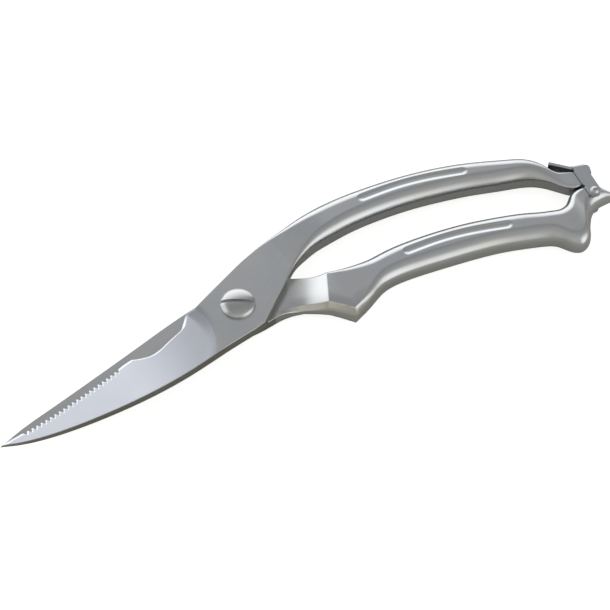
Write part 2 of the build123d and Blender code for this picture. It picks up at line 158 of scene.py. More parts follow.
CREASE_ANGLE = math.radians(32)  # sharper edges are shaded crisp


# ------------------------------------------------------------------ curves
def smooth_curve(points, step=0.05):
    """A natural cubic curve through points, or a line through two, sampled about every step mm."""
    p = np.array(points, float)
    t = np.concatenate([[0], np.cumsum(np.linalg.norm(np.diff(p, axis=0), axis=1))])
    x = np.linspace(0, t[-1], max(3, int(t[-1] / step) + 1))
    if len(p) == 2:
        return p[0] + (p[1] - p[0]) * (x / t[-1])[:, None]
    n, h = len(p), np.diff(t)
    a, r = np.zeros((n, n)), np.zeros((n, p.shape[1]))
    a[0, 0] = a[-1, -1] = 1
    for i in range(1, n - 1):
        a[i, i - 1 : i + 2] = h[i - 1], 2 * (h[i - 1] + h[i]), h[i]
        r[i] = 6 * ((p[i + 1] - p[i]) / h[i] - (p[i] - p[i - 1]) / h[i - 1])
    m = np.linalg.solve(a, r)
    k = np.clip(np.searchsorted(t, x, side="right") - 1, 0, n - 2)
    u, v = ((t[k + 1] - x) / h[k])[:, None], ((x - t[k]) / h[k])[:, None]
    return u * p[k] + v * p[k + 1] + ((u**3 - u) * m[k] + (v**3 - v) * m[k + 1]) * (h[k] ** 2)[:, None] / 6


HALF_CHORD = 0.4  # an edge's direction is taken over twice this length
RUN = 6  # samples of a curve that are treated as one straight run


class Edge:
    """One side of an arm in plan: smooth pieces that meet at corners, measured by length along it."""

    def __init__(self, *pieces):
        self.points = np.concatenate([smooth_curve(p) for p in pieces])
        self.length = np.concatenate([[0], np.cumsum(np.linalg.norm(np.diff(self.points, axis=0), axis=1))])

    def at(self, s):
        return np.stack([np.interp(s, self.length, self.points[:, k]) for k in (0, 1)], 1)

    def nearest(self, point):
        return self.length[np.argmin(np.linalg.norm(self.points - np.array(point), axis=1))]

    def inward(self, s):
        """Unit normals to the right of the edge's direction."""
        d = self.at(s + HALF_CHORD) - self.at(s - HALF_CHORD)
        d /= np.maximum(np.linalg.norm(d, axis=1), 1e-9)[:, None]
        return np.stack([d[:, 1], -d[:, 0]], 1)


def distance_to(curve, x, y):
    """Distance of each point to a sampled curve in plan, taken as straight runs of a few samples."""
    end = curve[RUN::RUN]
    start = curve[:-RUN:RUN][: len(end)]
    step = end - start
    ax, ay = x[:, None] - start[None, :, 0], y[:, None] - start[None, :, 1]
    t = np.clip((ax * step[:, 0] + ay * step[:, 1]) / (step**2).sum(1), 0, 1)
    return np.sqrt(((ax - t * step[:, 0]) ** 2 + (ay - t * step[:, 1]) ** 2).min(1))


def smoothstep(x):
    x = np.clip(x, 0, 1)
    return x * x * (3 - 2 * x)


# ------------------------------------------------------------------ arms
TOP_STEPS, BACK_STEPS = 76, 32  # points across the face and across the back
SOFT_ROWS = 15  # sections over which heights and radii are evened out
UPPER_SOFT_FROM, LOWER_SOFT_FROM = 4, 44  # x from which they are, for the upper and the lower handle
SOFT_FADE = 6  # length over which that comes in
ROUND_HEIGHT, ROUND_WIDTH = 0.98, 0.49  # most that rounding may take of a section's thickness and width
ON_LINE = 0.2  # a section meets the groove's line where a sample of the line lies this near
GROOVE_MARGIN = 12  # sections beyond each end of the groove that still follow its lips
LEAST_WIDTH = 0.15  # narrower sections, at the point, are left out
LEAST_THICKNESS = 0.06
BACK_FLOW = 30.0  # how far apart the face and the back lie in the UV map


def close_to_ends(steps):
    """Shares from 0 to 1, closer together near both ends."""
    return (1 - np.cos(np.linspace(0, math.pi, steps))) / 2


def across(up, low):
    """Unit vector and length of a section from its lower to its upper point."""
    width = float(np.linalg.norm(up - low))
    return (up - low) / max(width, 1e-6), width


def half_profile(width, lower_radius, upper_radius, steps, groove=None):
    """Positions across a face, closer together near its edges, and how far its rounded edges drop there.
    groove: where the groove's middle is across the face, and which rows of points follow its lips."""
    share = close_to_ends(steps)
    if groove is not None:
        middle, rows = groove
        lips = [(middle - GROOVE_HALF) / width, (middle + GROOVE_HALF) / width]
        share = np.interp(share, [0, share[rows[0]], share[rows[1]], 1], [0, *lips, 1])
    w = width * share
    drop = np.zeros(steps)
    for distance, radius in ((w, lower_radius), (width - w, upper_radius)):
        r = min(radius, ROUND_WIDTH * width)
        inside = np.clip(distance / r, 0, 1)
        drop = drop + radius * (1 - np.sqrt(1 - (1 - inside) ** 2))
    return w, drop


def groove_rows(up, low, line):
    """Where the groove's middle line crosses each section, which rows of points follow its lips, and the
    first and last section that have such rows."""
    share = np.full(len(up), np.nan)
    for k, (u, l) in enumerate(zip(up, low)):
        d, width = across(u, l)
        off = np.abs((line - l) @ np.array((-d[1], d[0])))
        near = np.argmin(off)
        if off[near] < ON_LINE and 0 < (line[near] - l) @ d < width:
            share[k] = (line[near] - l) @ d / width
    known = np.flatnonzero(~np.isnan(share))
    share = np.interp(np.arange(len(up)), known, share[known])
    widths = np.linalg.norm(up - low, axis=1)
    middle = share * widths
    typical = widths[known].mean()
    grid = close_to_ends(TOP_STEPS)
    centre = share[known].mean()
    rows = [int(np.argmin(np.abs(grid - (centre + side * GROOVE_HALF / typical)))) for side in (-1, 1)]
    return middle, rows, (int(known[0]) - GROOVE_MARGIN, int(known[-1]) + GROOVE_MARGIN)


def sections(upper, lower, anchors, step):
    """Lengths along both edges, and heights and radii, for every section between the anchors."""
    stations = []
    for upper_point, lower_point, *rest in anchors:
        if len(rest) == 4:
            rest = [*rest, rest[-1]]
        stations.append([upper.nearest(upper_point), lower.nearest(lower_point), *rest])
    stations = np.array(stations, float)
    rows = []
    for k, (this, following) in enumerate(zip(stations, stations[1:])):
        span = max(following[0] - this[0], following[1] - this[1])
        n = max(2, int(math.ceil(span / step(anchors[k][0][0]))))
        closing = 1 if k == len(anchors) - 2 else 0  # only the last stretch has its end station too
        share = np.arange(n + closing) / n
        rows.append(this + share[:, None] * (following - this))
    rows = np.concatenate(rows)
    return rows[:, 0], rows[:, 1], rows[:, 2:]


def evened_out(prop, blend):
    """Averages each column over SOFT_ROWS sections, as far as blend says."""
    kernel = np.hanning(SOFT_ROWS + 2)[1:-1]
    padded = np.pad(prop, ((SOFT_ROWS // 2,) * 2, (0, 0)), mode="edge")
    soft = np.stack([np.convolve(column, kernel / kernel.sum(), mode="valid") for column in padded.T], 1)
    return prop + (soft - prop) * blend[:, None]


def arm(name, upper, lower, anchors, step, top, back, line, soft_from, tooth=None):
    """A closed skin over sections that run from the lower to the upper edge.
    anchors: stations as listed for the handles. step(x) is the spacing of sections. top and back give the
    heights. line is the middle of the finger groove. soft_from is the x from which heights and radii are
    evened out. tooth gives the depth of the serration by the length along the upper edge."""
    upper_at, lower_at, prop = sections(upper, lower, anchors, step)
    up, low = upper.at(upper_at), lower.at(lower_at)
    if tooth is not None:
        up = up + upper.inward(upper_at) * tooth(upper_at)[:, None]
    prop = evened_out(prop, smoothstep((up[:, 0] - soft_from) / SOFT_FADE))
    middles, rows, (first, last) = groove_rows(up, low, line)
    rings, flow = [], []
    along, previous = 0.0, None
    for k, (u, l, (z_back, z_face, r_back, r_low, r_up)) in enumerate(zip(up, low, prop)):
        d, width = across(u, l)
        if width < LEAST_WIDTH:
            continue
        middle = (u + l) / 2
        along += 0 if previous is None else float(np.linalg.norm(middle - previous))
        previous = middle
        scale = min(1.0, ROUND_HEIGHT * (z_face - z_back) / max(r_back + max(r_low, r_up), 1e-6))
        groove = (middles[k], rows) if first <= k <= last else None
        w, drop = half_profile(width, r_low * scale, r_up * scale, TOP_STEPS, groove)
        x, y = l[0] + d[0] * w, l[1] + d[1] * w
        z = top(x, y, w, width, z_face) - drop
        w2, rise = half_profile(width, r_back * scale, r_back * scale, BACK_STEPS)
        w2, rise = w2[::-1], rise[::-1]
        x2, y2 = l[0] + d[0] * w2, l[1] + d[1] * w2
        z2 = np.minimum(back(x2, w2, z_back) + rise, np.interp(w2, w, z) - LEAST_THICKNESS)
        rings.append(np.concatenate([np.stack([x, y, z], 1), np.stack([x2, y2, z2], 1)]))
        sideways = np.concatenate([w - width / 2, w2 - width / 2 + BACK_FLOW])
        flow.append(np.stack([np.full(len(sideways), along), sideways], 1))
    return skin(name, np.array(rings), np.array(flow))


def skin(name, rings, flow):
    """Quads over a list of rings, closed at both ends, with a UV map in metres: along the arm, across it."""
    n, m = rings.shape[:2]
    index = np.arange(n * m).reshape(n, m)
    quads = np.stack(
        [index[:-1], np.roll(index[:-1], -1, axis=1), np.roll(index[1:], -1, axis=1), index[1:]], -1
    ).reshape(-1, 4)
    faces = quads.tolist() + [index[0][::-1].tolist(), index[-1].tolist()]
    mesh = bpy.data.meshes.new(name)
    mesh.from_pydata((rings.reshape(-1, 3) * MM).tolist(), [], faces)
    uv = mesh.uv_layers.new(name="flow")
    loop_vertex = np.zeros(len(mesh.loops), np.int32)
    mesh.loops.foreach_get("vertex_index", loop_vertex)
    uv.data.foreach_set("uv", (flow.reshape(-1, 2)[loop_vertex] * MM).astype(np.float32).ravel())
    obj = bpy.data.objects.new(name, mesh)
    bpy.context.scene.collection.objects.link(obj)
    recalculate(mesh)
    return obj


def recalculate(mesh):
    """Normals outwards, smooth shading with crisp creases."""
    b = bmesh.new()
    b.from_mesh(mesh)
    bmesh.ops.recalc_face_normals(b, faces=b.faces)
    b.to_mesh(mesh)
    b.free()
    shade(mesh)


def shade(mesh):
    mesh.polygons.foreach_set("use_smooth", np.ones(len(mesh.polygons), bool))
    mesh.set_sharp_from_angle(angle=CREASE_ANGLE)
    mesh.update()


def grooved(curve, x, y, z):
    """Sinks a shallow groove with sloping sides and round ends into a face along a curve."""
    if x.max() < curve[0, 0] - GROOVE_HALF or x.min() > curve[-1, 0] + GROOVE_HALF:
        return z
    d = np.minimum(distance_to(curve, x, y) / GROOVE_HALF, 1)
    side = np.clip((d - GROOVE_FLAT) / (1 - GROOVE_FLAT), 0, 1)
    return z - GROOVE_DEPTH * (1 + np.cos(math.pi * side)) / 2


def ground_height(x, y):
    """Height of the front blade's ground face: flat across, with a fall that lessens towards the joint."""
    fall = GROUND_FALL - FALL_CHANGE * smoothstep((x - FALL_FROM) / FALL_FADE)
    return SHEAR + GROUND_THICK + GROUND_SLOPE * (x - GROUND_X) - fall * (y - GROUND_Y)


def front_top(x, y, w, width, face):
    """Ground blade with a bevelled edge, joint plate, then the handle with its groove. w is the distance from
    the lower edge; top functions share one set of arguments, and back functions another."""
    z = np.full(x.shape, float(face))
    cx, cy = RUN_OUT_CENTRE
    inside = np.where(x < cx, RUN_OUT, RUN_OUT_R - np.hypot(x - cx, y - cy))
    ground = np.minimum(z, ground_height(x, y))
    z = z + (ground - z) * smoothstep(inside / RUN_OUT)
    edge = width - w
    shoulder = smoothstep((x - NOTCH_END) / NOTCH_FADE)
    z = z - BEVEL_SLOPE * np.clip(BEVEL_WIDTH - edge, 0, None) * (1 - shoulder)
    z = np.minimum(z, SHEAR + EDGE_LAND + EDGE_SLOPE * edge + SHOULDER_CLEAR * shoulder)
    return grooved(UPPER_GROOVE_LINE, x, y, z)


def front_back(x, w, back):
    return np.full(x.shape, float(back))


def rear_top(x, y, w, width, face):
    """Flat joint plate, a hollow slope up the neck to a crisp crease, then the handle with its groove.
    A bevelled lower edge runs from the joint to the guard's corner."""
    (x0, y0), (x1, y1) = CREASE
    along = math.hypot(x0 - x1, y0 - y1)
    before = ((x0 - x) * (y0 - y1) + (y - y0) * (x0 - x1)) / along
    slope = REAR_FACE + (CREST - REAR_FACE) * np.clip(1 - before / NECK_LENGTH, 0, 1) ** 2
    z = np.where(before > 0, slope, float(face))
    near = smoothstep((x - NECK_FROM) / NECK_RISE) * (1 - smoothstep((x - NECK_TO) / NECK_FADE))
    roll = ROLL_DROP * np.clip(1 - w / ROLL_WIDTH, 0, 1) ** 2
    bevel = NECK_BEVEL_SLOPE * np.clip(NECK_BEVEL_WIDTH - w, 0, None)
    z = z - (roll + bevel) * near * np.clip((z - REAR_BACK) / NECK_THICK, 0.5, 1)
    return grooved(LOWER_GROOVE_LINE, x, y, z)


def rear_back(x, w, back):
    """The rear blade thins towards its point and has a bevel along its edge behind."""
    z = np.full(x.shape, float(back))
    blade = np.maximum(z, SHEAR - REAR_THICK - REAR_SLOPE * (x - GROUND_X))
    bevel = REAR_FACE - EDGE_LAND - REAR_EDGE_SLOPE * w
    return np.where(x < REAR_BLADE_END, np.maximum(blade, bevel), z)


UPPER_GROOVE_LINE = smooth_curve(UPPER_GROOVE)
LOWER_GROOVE_LINE = smooth_curve(LOWER_GROOVE)


def build_front_arm():
    upper = Edge(EDGE_POINT, SERRATED, [SERRATED[-1], BONE_NOTCH[0]], BONE_NOTCH, FRONT_SHOULDER,
                 [s[0] for s in UPPER_HANDLE])
    lower = Edge(FRONT_SPINE, [FRONT_SPINE[-1], FRONT_CROTCH[0]], FRONT_CROTCH, [s[1] for s in UPPER_HANDLE])
    first = upper.nearest(SERRATED[0]) + TOOTH_SHIFT[0]
    last = upper.nearest(SERRATED[-1]) + TOOTH_SHIFT[1]

    def tooth(s):
        phase = (s - first) / (last - first) * TOOTH_COUNT
        gap = np.clip(GAP_PEAK - np.abs(phase % 1 - 0.5) / FLANK, 0, 1)
        return np.where((phase > 0) & (phase < TOOTH_COUNT), gap * TOOTH_DEPTH, 0)

    plate = (FRONT_BACK, FRONT_FACE, 0.15, 0.15)  # back, face, radii of their edges
    body = (FRONT_BACK, FRONT_FACE, 0.3, 0.3)
    anchors = [
        (POINT, POINT, *plate),
        ((-96.5, -15.6), (-95, -18.8), *plate),
        ((-90, -14.7), (-88, -20.3), *plate),
        ((-80, -12.8), (-78, -21.4), *plate),
        ((-70, -10.3), (-67, -21.8), *plate),
        ((-59, -7.4), (-55, -21.6), *plate),
        ((-48.5, -4.1), (-44, -20.9), *plate),
        ((-44.6, -3.1), (-40.5, -20.5), *plate),
        ((-36.8, -4.7), (-33, -19.5), *plate),
        ((-25.5, -0.4), (-22, -17.6), *plate),
        ((-19.2, 4.4), (-15, -15.9), *plate),
        ((-15.4, 5.4), (-11.5, -15.1), *body),
        ((-7, 9.5), (-4.5, -13.8), *body),
        ((0, 12.8), (1.3, -12.6), *body),
        ((5, 15.1), (5.9, -11.3), *body),
        ((10, 17.4), (10.4, -7.2), *body),
        *UPPER_HANDLE,
    ]

    def step(x):
        if TEETH_X[0] < x < TEETH_X[1]:
            return TOOTH_STEP
        return BLADE_STEP if x < HANDLE_X else HANDLE_STEP

    return arm("front_arm_skin", upper, lower, anchors, step, front_top, front_back, UPPER_GROOVE_LINE,
               UPPER_SOFT_FROM, tooth)


def build_rear_arm():
    upper = Edge(REAR_SPINE, REAR_SHOULDER, [s[0] for s in LOWER_HANDLE])
    lower = Edge(REAR_EDGE, REAR_JOINT_LOW, [s[1] for s in LOWER_HANDLE[:GUARD + 1]],
                 [s[1] for s in LOWER_HANDLE[GUARD:]])
    plate = (REAR_BACK, REAR_FACE, 0.2, 0.2)  # back, face, radii of their edges
    anchors = [
        (POINT, POINT, *plate),
        ((-95, -13.9), (-95, -16.4), *plate),
        ((-80, -9.5), (-78, -14.4), *plate),
        ((-60, -4.1), (-58, -11.3), *plate),
        ((-40, 1.5), (-37, -9.4), *plate),
        ((-20, 7.0), (-20, -7.2), *plate),
        ((-14, 8.4), (-10, -8.5), *plate),
        ((-5, 10.0), (-4, -10.2), *plate),
        ((6, 10.6), (6, -9.7), *plate),
        ((15, 8.6), (13, -8.6), *plate),
        ((19, 7.0), (16, -8.5), *plate),
        *LOWER_HANDLE,
    ]
    return arm("rear_arm_skin", upper, lower, anchors, lambda x: REAR_STEP, rear_top, rear_back,
               LOWER_GROOVE_LINE, LOWER_SOFT_FROM)


# ------------------------------------------------------------------ cutting
def cutter(name, b):
    """An object from a bmesh, used only to cut."""
    mesh = bpy.data.meshes.new(name)
    b.to_mesh(mesh)
    b.free()
    obj = bpy.data.objects.new(name, mesh)
    bpy.context.scene.collection.objects.link(obj)
    return obj


def cylinder(name, radius, low, high, at=(0, 0), sides=96):
    b = bmesh.new()
    bmesh.ops.create_cone(b, cap_ends=True, segments=sides, radius1=radius * MM, radius2=radius * MM,
                          depth=(high - low) * MM,
                          matrix=Matrix.Translation((at[0] * MM, at[1] * MM, (low + high) / 2 * MM)))
    return cutter(name, b)


def cut(obj, *cutters):
    """Subtracts the cutters from obj and removes them."""
    for c in cutters:
        modifier = obj.modifiers.new("cut", "BOOLEAN")
        modifier.operation = "DIFFERENCE"
        modifier.solver = "EXACT"
        modifier.object = c
    graph = bpy.context.evaluated_depsgraph_get()
    mesh = bpy.data.meshes.new_from_object(obj.evaluated_get(graph))
    obj.modifiers.clear()
    old = obj.data
    obj.data = mesh
    bpy.data.meshes.remove(old)
    for c in cutters:
        bpy.data.objects.remove(c)
    shade(mesh)


# ------------------------------------------------------------------ tube along a path
def tube(name, path, radius, sides=16):
    """A round wire along a dense path in mm, closed at both ends."""
    p = np.array(path, float)
    tangent = np.gradient(p, axis=0)
    tangent /= np.linalg.norm(tangent, axis=1)[:, None]
    side = np.cross(tangent, (0, 0, 1))
    side /= np.linalg.norm(side, axis=1)[:, None]
    other = np.cross(side, tangent)
    turn = np.linspace(0, 2 * math.pi, sides, endpoint=False)
    rings = (p[:, None] + radius * (side[:, None] * np.cos(turn)[None, :, None]
                                    + other[:, None] * np.sin(turn)[None, :, None]))
    length = np.concatenate([[0], np.cumsum(np.linalg.norm(np.diff(p, axis=0), axis=1))])
    flow = np.stack(np.broadcast_arrays(length[:, None], (turn * radius)[None, :]), -1)
    return skin(name, rings, flow)


def turned(name, profile, at=(0.0, 0.0), sides=128):
    """A turned piece: (radius, height) points from the vertical axis, round the outline and back to it."""
    p = np.array(profile, float)
    turn = np.linspace(0, 2 * math.pi, sides, endpoint=False)
    rings = np.stack([p[:, :1] * np.cos(turn) + at[0], p[:, :1] * np.sin(turn) + at[1],
                      np.repeat(p[:, 1:], sides, axis=1)], -1)
    length = np.concatenate([[0], np.cumsum(np.linalg.norm(np.diff(p, axis=0), axis=1))])
    flow = np.stack(np.broadcast_arrays(length[:, None], (turn * p[:, 0].max())[None, :]), -1)
    return skin(name, rings, flow)


AXIS_R = 0.02  # a turned outline starts and ends this far from its axis
RIM_TURN, RIM_HEIGHT = 1.1, 0.9  # radians of the rim's rounding, and where the dome's base lies, in rim radii
DOME_WIDE, DOME_HIGH = 0.9, 1.15  # powers of cosine and sine; 1 and 1 would make an ellipse
DOME_STEPS, DOME_START = 24, 3  # the first points would crowd the rim


def cap(radius, low, high, rim):
    """Outline of a domed head: a small rounded rim, then a dome up to the crown."""
    base = low + rim * RIM_HEIGHT
    rounding = [(radius - rim * (1 - math.cos(t)), low + rim * math.sin(t))
                for t in np.linspace(0, RIM_TURN, 5)]
    dome = [((radius - rim) * math.cos(t) ** DOME_WIDE + AXIS_R,
             base + (high - low - rim * RIM_HEIGHT) * math.sin(t) ** DOME_HIGH)
            for t in np.linspace(0, math.pi / 2, DOME_STEPS)[DOME_START:]]
    return rounding + dome


# Outlines: (radius, height)
SCREW_OUTLINE = [
    (AXIS_R, 0.6), (2.1, 0.6), (2.4, 0.9), (2.4, 4.1),
    (3.0, 4.1), (3.0, FRONT_FACE),
    (6.3, FRONT_FACE), (SCREW_R, FRONT_FACE + 0.3), *cap(SCREW_R, FRONT_FACE + 0.7, SCREW_TOP, 0.4),
]
RIVET_OUTLINE = [
    (AXIS_R, 0.05), (1.6, 0.05), (RIVET_HEAD_R, 0.2), (1.75, RIVET_LOW - 0.02),
    (1.2, RIVET_LOW), (1.2, RIVET_HIGH - 0.02),
    (1.7, RIVET_HIGH), *cap(RIVET_HEAD_R, RIVET_HIGH + 0.02, RIVET_HIGH + 1.1, 0.25),
]
WASHER_OUTLINE = [(AXIS_R, 0.27), (2.1, 0.27), (2.2, 0.34), (2.2, 0.5), (2.1, 0.57), (AXIS_R, 0.57)]
SLOT_LENGTH, SLOT_CUTTER_HEIGHT = 30, 10
BELOW, ABOVE = -5, 20  # heights clear of the object, for cutters


def build_screw():
    screw = turned("screw_turned", SCREW_OUTLINE)
    middle = SCREW_TOP - SLOT_DEPTH + SLOT_CUTTER_HEIGHT / 2
    b = bmesh.new()
    bmesh.ops.create_cube(b, size=MM, matrix=Matrix.Rotation(math.radians(SLOT_ANGLE), 4, "Z")
                          @ Matrix.Translation((0, 0, middle * MM))
                          @ Matrix.Diagonal((SLOT_LENGTH, SLOT_WIDTH, SLOT_CUTTER_HEIGHT, 1)))
    cut(screw, cutter("slot", b))
    return screw


def build_washer():
    washer = turned("rivet_washer_turned", WASHER_OUTLINE, LATCH, sides=64)
    cut(washer, cylinder("hole", RIVET_HOLE_R, BELOW, ABOVE, LATCH, sides=64))
    return washer


def build_spring():
    """A coil round the screw with a straight leg at each end, centred on the shear plane."""
    a = np.linspace(0, 2 * math.pi * COIL_TURNS, 200)
    height = COIL_TURNS * COIL_PITCH
    rise = SHEAR - height / 2 + COIL_PITCH * a / (2 * math.pi)
    coil = np.stack([COIL_R * np.cos(a), COIL_R * np.sin(a), rise], 1)
    first = coil[0] - (coil[1] - coil[0]) / np.linalg.norm(coil[1] - coil[0]) * SPRING_LEG
    last = coil[-1] + (coil[-1] - coil[-2]) / np.linalg.norm(coil[-1] - coil[-2]) * SPRING_LEG
    path = np.concatenate([np.linspace(first, coil[0], 8)[:-1], coil, np.linspace(coil[-1], last, 8)[1:]])
    return tube("spring_wire", path, WIRE_R)


# ------------------------------------------------------------------ materials
NOISE_LOW, NOISE_HIGH = 0.3, 0.7  # most values of a noise lie between these
GRAIN_DETAIL, GRAIN_ROUGHNESS = 4.0, 0.65
MOTTLE_SCALE, MOTTLE_DETAIL = 70.0, 3.0
MOTTLE_SHARE = 0.6  # how much the mottling changes the roughness, next to the grain
FLECK = (0.96, 1.02)  # the grain's darkening and lightening
RELIEF = 0.00002  # metres


def noise(tree, vector, scale, detail, roughness=0.5):
    node = tree.nodes.new("ShaderNodeTexNoise")
    node.inputs["Scale"].default_value = scale
    node.inputs["Detail"].default_value = detail
    node.inputs["Roughness"].default_value = roughness
    tree.links.new(vector, node.inputs["Vector"])
    return node.outputs["Fac"]


def spread_of(tree, value, low, high):
    """Spreads a noise's usual range over low to high."""
    node = tree.nodes.new("ShaderNodeMapRange")
    node.inputs["From Min"].default_value = NOISE_LOW
    node.inputs["From Max"].default_value = NOISE_HIGH
    node.inputs["To Min"].default_value = low
    node.inputs["To Max"].default_value = high
    tree.links.new(value, node.inputs["Value"])
    return node.outputs["Result"]


def grey(tree, value):
    node = tree.nodes.new("ShaderNodeCombineColor")
    for channel in ("Red", "Green", "Blue"):
        tree.links.new(value, node.inputs[channel])
    return node.outputs["Color"]


def mixed(tree, blend, factor, a, b):
    """Mixes two colours. factor, a and b are each an output to link or a constant."""
    node = tree.nodes.new("ShaderNodeMix")
    node.data_type = "RGBA"
    node.blend_type = blend
    for name, value in (("Factor", factor), ("A", a), ("B", b)):
        if isinstance(value, bpy.types.NodeSocket):
            tree.links.new(value, node.inputs[name])
        else:
            node.inputs[name].default_value = value
    return node.outputs["Result"]


def steel(name, tone, tint, roughness, spread, grain, flow=True, bump=0.12):
    """Brushed or satin steel, mottled between tone and tint, with a roughness that varies by spread.
    grain: noise scale along and across the brushing, per metre, in the UV map if flow, else in the object."""
    material = bpy.data.materials.new(name)
    material.use_nodes = True
    tree = material.node_tree
    shader = tree.nodes["Principled BSDF"]
    shader.inputs["Metallic"].default_value = 1.0
    coords = tree.nodes.new("ShaderNodeTexCoord")
    stretch = tree.nodes.new("ShaderNodeMapping")
    stretch.inputs["Scale"].default_value = (grain[0], grain[1], grain[1])
    tree.links.new(coords.outputs["UV" if flow else "Object"], stretch.inputs["Vector"])
    lines = noise(tree, stretch.outputs["Vector"], 1.0, GRAIN_DETAIL, GRAIN_ROUGHNESS)
    cloud = noise(tree, coords.outputs["Object"], MOTTLE_SCALE, MOTTLE_DETAIL)
    both = tree.nodes.new("ShaderNodeMath")
    both.operation = "ADD"
    gentle = spread * MOTTLE_SHARE
    tree.links.new(spread_of(tree, lines, -spread, spread), both.inputs[0])
    tree.links.new(spread_of(tree, cloud, roughness - gentle, roughness + gentle), both.inputs[1])
    tree.links.new(both.outputs["Value"], shader.inputs["Roughness"])
    colour = mixed(tree, "MIX", spread_of(tree, cloud, 0.0, 1.0), (*tone, 1), (*tint, 1))
    fleck = grey(tree, spread_of(tree, lines, *FLECK))
    tree.links.new(mixed(tree, "MULTIPLY", 1.0, colour, fleck), shader.inputs["Base Color"])
    relief = tree.nodes.new("ShaderNodeBump")
    relief.inputs["Strength"].default_value = bump
    relief.inputs["Distance"].default_value = RELIEF
    tree.links.new(lines, relief.inputs["Height"])
    tree.links.new(relief.outputs["Normal"], shader.inputs["Normal"])
    return material


def dress(obj, material, body, slot, *stands_for):
    """Material, body and the CAD nodes that a new piece stands for. slot is not used."""
    obj.data.materials.clear()
    obj.data.materials.append(material)
    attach(obj, body)
    if stands_for:
        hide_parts(*stands_for)


WALL_Z, LOWER_Y = 0.4, -0.3  # limits of a face's normal: a wall's z, and the y of one on the lower side
JOINT_END, SPINE_END = 11, 21  # x where the walls with painted shade on the rear and the front arm end
BEVEL_X, BEVEL_LOW = (13, 39), 4  # limits of the bevel that carries a painted reflection: x, lowest z
BEVEL_TILT = (0.2, 0.8)  # and the z of its normal
GROUND_END, ABOVE_SHEAR = -10, 0.1


def lower_wall(face, end):
    """Whether a face is a wall on the lower side of an arm, before x reaches end."""
    return abs(face.normal.z) < WALL_Z and face.normal.y < LOWER_Y and face.center.x / MM < end


def paint_bevel_reflection_and_joint_shade(obj, material, spine):
    """The bevel under the neck of the rear arm takes a brighter, warmer steel that paints a reflection of the
    pale floor, and the wall under the joint a darker one that paints its shade.
    """
    obj.data.materials.append(material)
    obj.data.materials.append(spine)
    for face in obj.data.polygons:
        tilted = BEVEL_TILT[0] < face.normal.z < BEVEL_TILT[1] and face.normal.y < LOWER_Y
        if lower_wall(face, JOINT_END):
            face.material_index = 2
        if tilted and BEVEL_X[0] < face.center.x / MM < BEVEL_X[1] and face.center.z / MM > BEVEL_LOW:
            face.material_index = 1


def paint_ground_and_spine_shade(obj, material, spine):
    """The ground face of the front blade takes its own steel, and the wall of its spine a darker one that
    paints its shade.
    """
    obj.data.materials.append(material)
    obj.data.materials.append(spine)
    cx, cy = RUN_OUT_CENTRE
    for face in obj.data.polygons:
        x, y, z = (c / MM for c in face.center)
        outside = x > cx and math.hypot(x - cx, y - cy) > PAINT_R
        if face.normal.z > WALL_Z and z > SHEAR + ABOVE_SHEAR and x < GROUND_END and not outside:
            face.material_index = 1
        elif lower_wall(face, SPINE_END):
            face.material_index = 2


SATIN = steel("satin_forging", (0.625, 0.64, 0.662), (0.615, 0.62, 0.602), 0.23, 0.03, (90, 4200), bump=0.05)
GROUND = steel("ground_blade", (0.72, 0.735, 0.785), (0.69, 0.705, 0.755), 0.22, 0.03, (5200, 160), bump=0.05)
# brighter, warmer steel for the bevel under the neck: a painted reflection of the pale floor
BEVEL_PAINTED_REFLECTION = steel("bevel_painted_reflection", (0.77, 0.745, 0.69), (0.73, 0.71, 0.655), 0.24, 0.03, (90, 4200), bump=0.05)
# darker steel for the lower walls of the blade's spine and under the joint: painted shade
SPINE_PAINTED_SHADE = steel("spine_painted_shade", (0.40, 0.395, 0.36), (0.34, 0.335, 0.30), 0.35, 0.04, (300, 2600), bump=0.05)
SCREW = steel("turned_screw", (0.62, 0.62, 0.61), (0.57, 0.57, 0.57), 0.20, 0.03, (2600, 2600), flow=False,
              bump=0.04)
SHEET = steel("tumbled_sheet", (0.56, 0.575, 0.59), (0.50, 0.515, 0.53), 0.28, 0.03, (9000, 9000), flow=False,
              bump=0.01)
WIRE = steel("spring_wire_steel", (0.52, 0.52, 0.53), (0.46, 0.46, 0.47), 0.30, 0.05, (90, 1500))
NUT = steel("turned_nut", (0.60, 0.60, 0.60), (0.52, 0.52, 0.52), 0.30, 0.06, (800, 800), flow=False)

# ------------------------------------------------------------------ build
front = build_front_arm()
cut(front, cylinder("hole", SHANK_HOLE_R, 0, ABOVE), cylinder("pocket", POCKET_R, 0, SHEAR + POCKET_DEPTH))
dress(front, SATIN, "upper_arm", "arm_steel", "front_arm")
# painted shade on the wall under the front blade's spine
paint_ground_and_spine_shade(front, GROUND, SPINE_PAINTED_SHADE)
rear = build_rear_arm()
cut(rear, cylinder("hole", SLEEVE_HOLE_R, BELOW, ABOVE),
    cylinder("pocket", POCKET_R, SHEAR - POCKET_DEPTH, ABOVE),
    cylinder("rivet_hole", RIVET_HOLE_R, BELOW, ABOVE, LATCH, sides=32))
dress(rear, SATIN, "lower_arm", "arm_steel", "rear_arm")
# painted reflection on the neck's bevel, painted shade on the wall under the joint
paint_bevel_reflection_and_joint_shade(rear, BEVEL_PAINTED_REFLECTION, SPINE_PAINTED_SHADE)
spring = build_spring()
spring.data.materials.append(WIRE)
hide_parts("torsion_spring")
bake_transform(spring)

dress(build_screw(), SCREW, "lower_arm", "screw_steel", "pivot_screw")
dress(turned("rivet_turned", RIVET_OUTLINE, LATCH, sides=64), SCREW, "lower_arm", "rivet_steel", "latch_rivet")
dress(build_washer(), NUT, "lower_arm", "rivet_steel", "rivet_washer")

for node, material in (("pivot_nut", NUT), ("lock_washer", NUT), ("latch_bail", SHEET)):
    mesh = NODES[node].data
    mesh.materials.clear()
    mesh.materials.append(material)
    shade(mesh)


